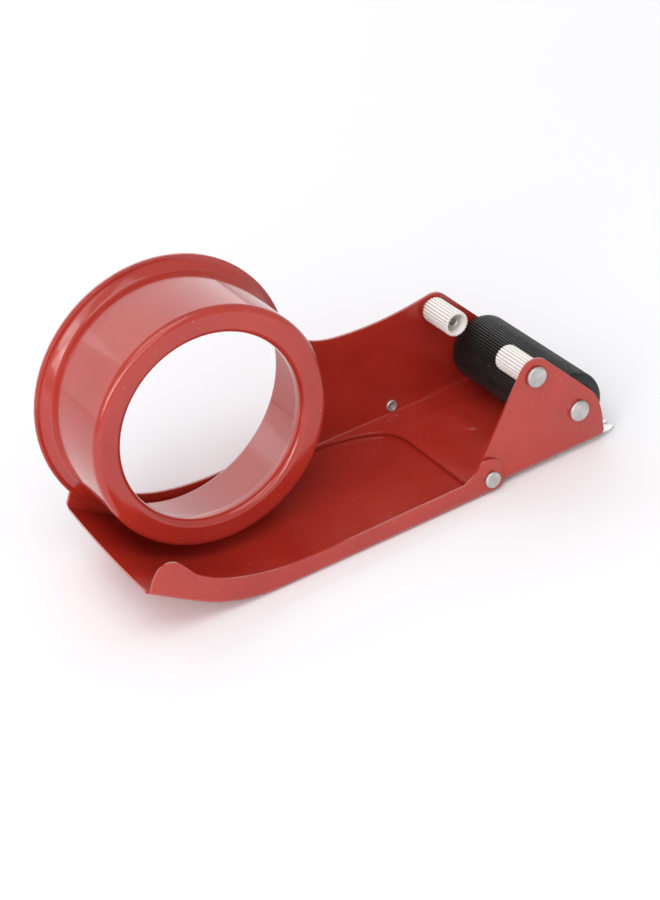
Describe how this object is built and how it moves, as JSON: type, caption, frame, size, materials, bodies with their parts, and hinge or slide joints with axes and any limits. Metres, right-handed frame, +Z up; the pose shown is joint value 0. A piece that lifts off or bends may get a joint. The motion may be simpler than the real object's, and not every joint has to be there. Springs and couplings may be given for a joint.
{
  "type": "hand tape dispenser",
  "caption": "Hand-held carton-sealing tape dispenser: open sheet-metal tray hinged to a head with a drum hub, ribbed roller, guide wheels and serrated blade.",
  "frame": {"origin": "the middle of the bounding box, on the surface the tray stands on", "axes": "+X from the tape hub to the blade, +Y from the open side to the closed side wall, +Z up"},
  "size_m": [0.1632, 0.062, 0.0845],
  "materials": {
    "red_paint": "gloss",
    "rivet_steel": "satin",
    "blade_steel": "bright",
    "white_plastic": "matte",
    "black_rubber": "matte",
    "black_plastic": "matte"
  },
  "bodies": {
    "tray_body": {"tray": "red_paint", "hinge_rivet_near": "rivet_steel", "hinge_rivet_far": "rivet_steel", "hinge_washer_near": "rivet_steel", "hinge_washer_far": "rivet_steel"},
    "head": {"head_frame": "red_paint", "tape_hub": "red_paint", "guide_pin_near": "rivet_steel", "guide_pin_far": "rivet_steel", "roller_axle": "rivet_steel", "roller_washer_near": "rivet_steel", "roller_washer_far": "rivet_steel", "blade": "blade_steel", "blade_rivet_near": "rivet_steel", "blade_rivet_far": "rivet_steel"},
    "roller": {"roller_sleeve": "black_rubber", "roller_core": "black_plastic", "roller_bush_near": "black_plastic", "roller_bush_far": "black_plastic"},
    "wheel_near": {"guide_wheel_near": "white_plastic"},
    "wheel_far": {"guide_wheel_far": "white_plastic"}
  },
  "joints": [
    {"name": "head_hinge", "type": "hinge", "parent": "tray_body", "child": "head", "pos_m": [0.0335, 0, 0.0048], "axis": [0, 1, 0], "range_deg": [0, 40]},
    {"name": "roller_spin", "type": "hinge", "parent": "head", "child": "roller", "pos_m": [0.0668, 0, 0.0139], "axis": [0, 1, 0], "continuous": true},
    {"name": "guide_wheel_near_spin", "type": "hinge", "parent": "head", "child": "wheel_near", "pos_m": [0.0534, -0.0195, 0.0314], "axis": [0, 1, 0], "continuous": true},
    {"name": "guide_wheel_far_spin", "type": "hinge", "parent": "head", "child": "wheel_far", "pos_m": [0.0524, 0.0195, 0.0325], "axis": [0, 1, 0], "continuous": true}
  ]
}
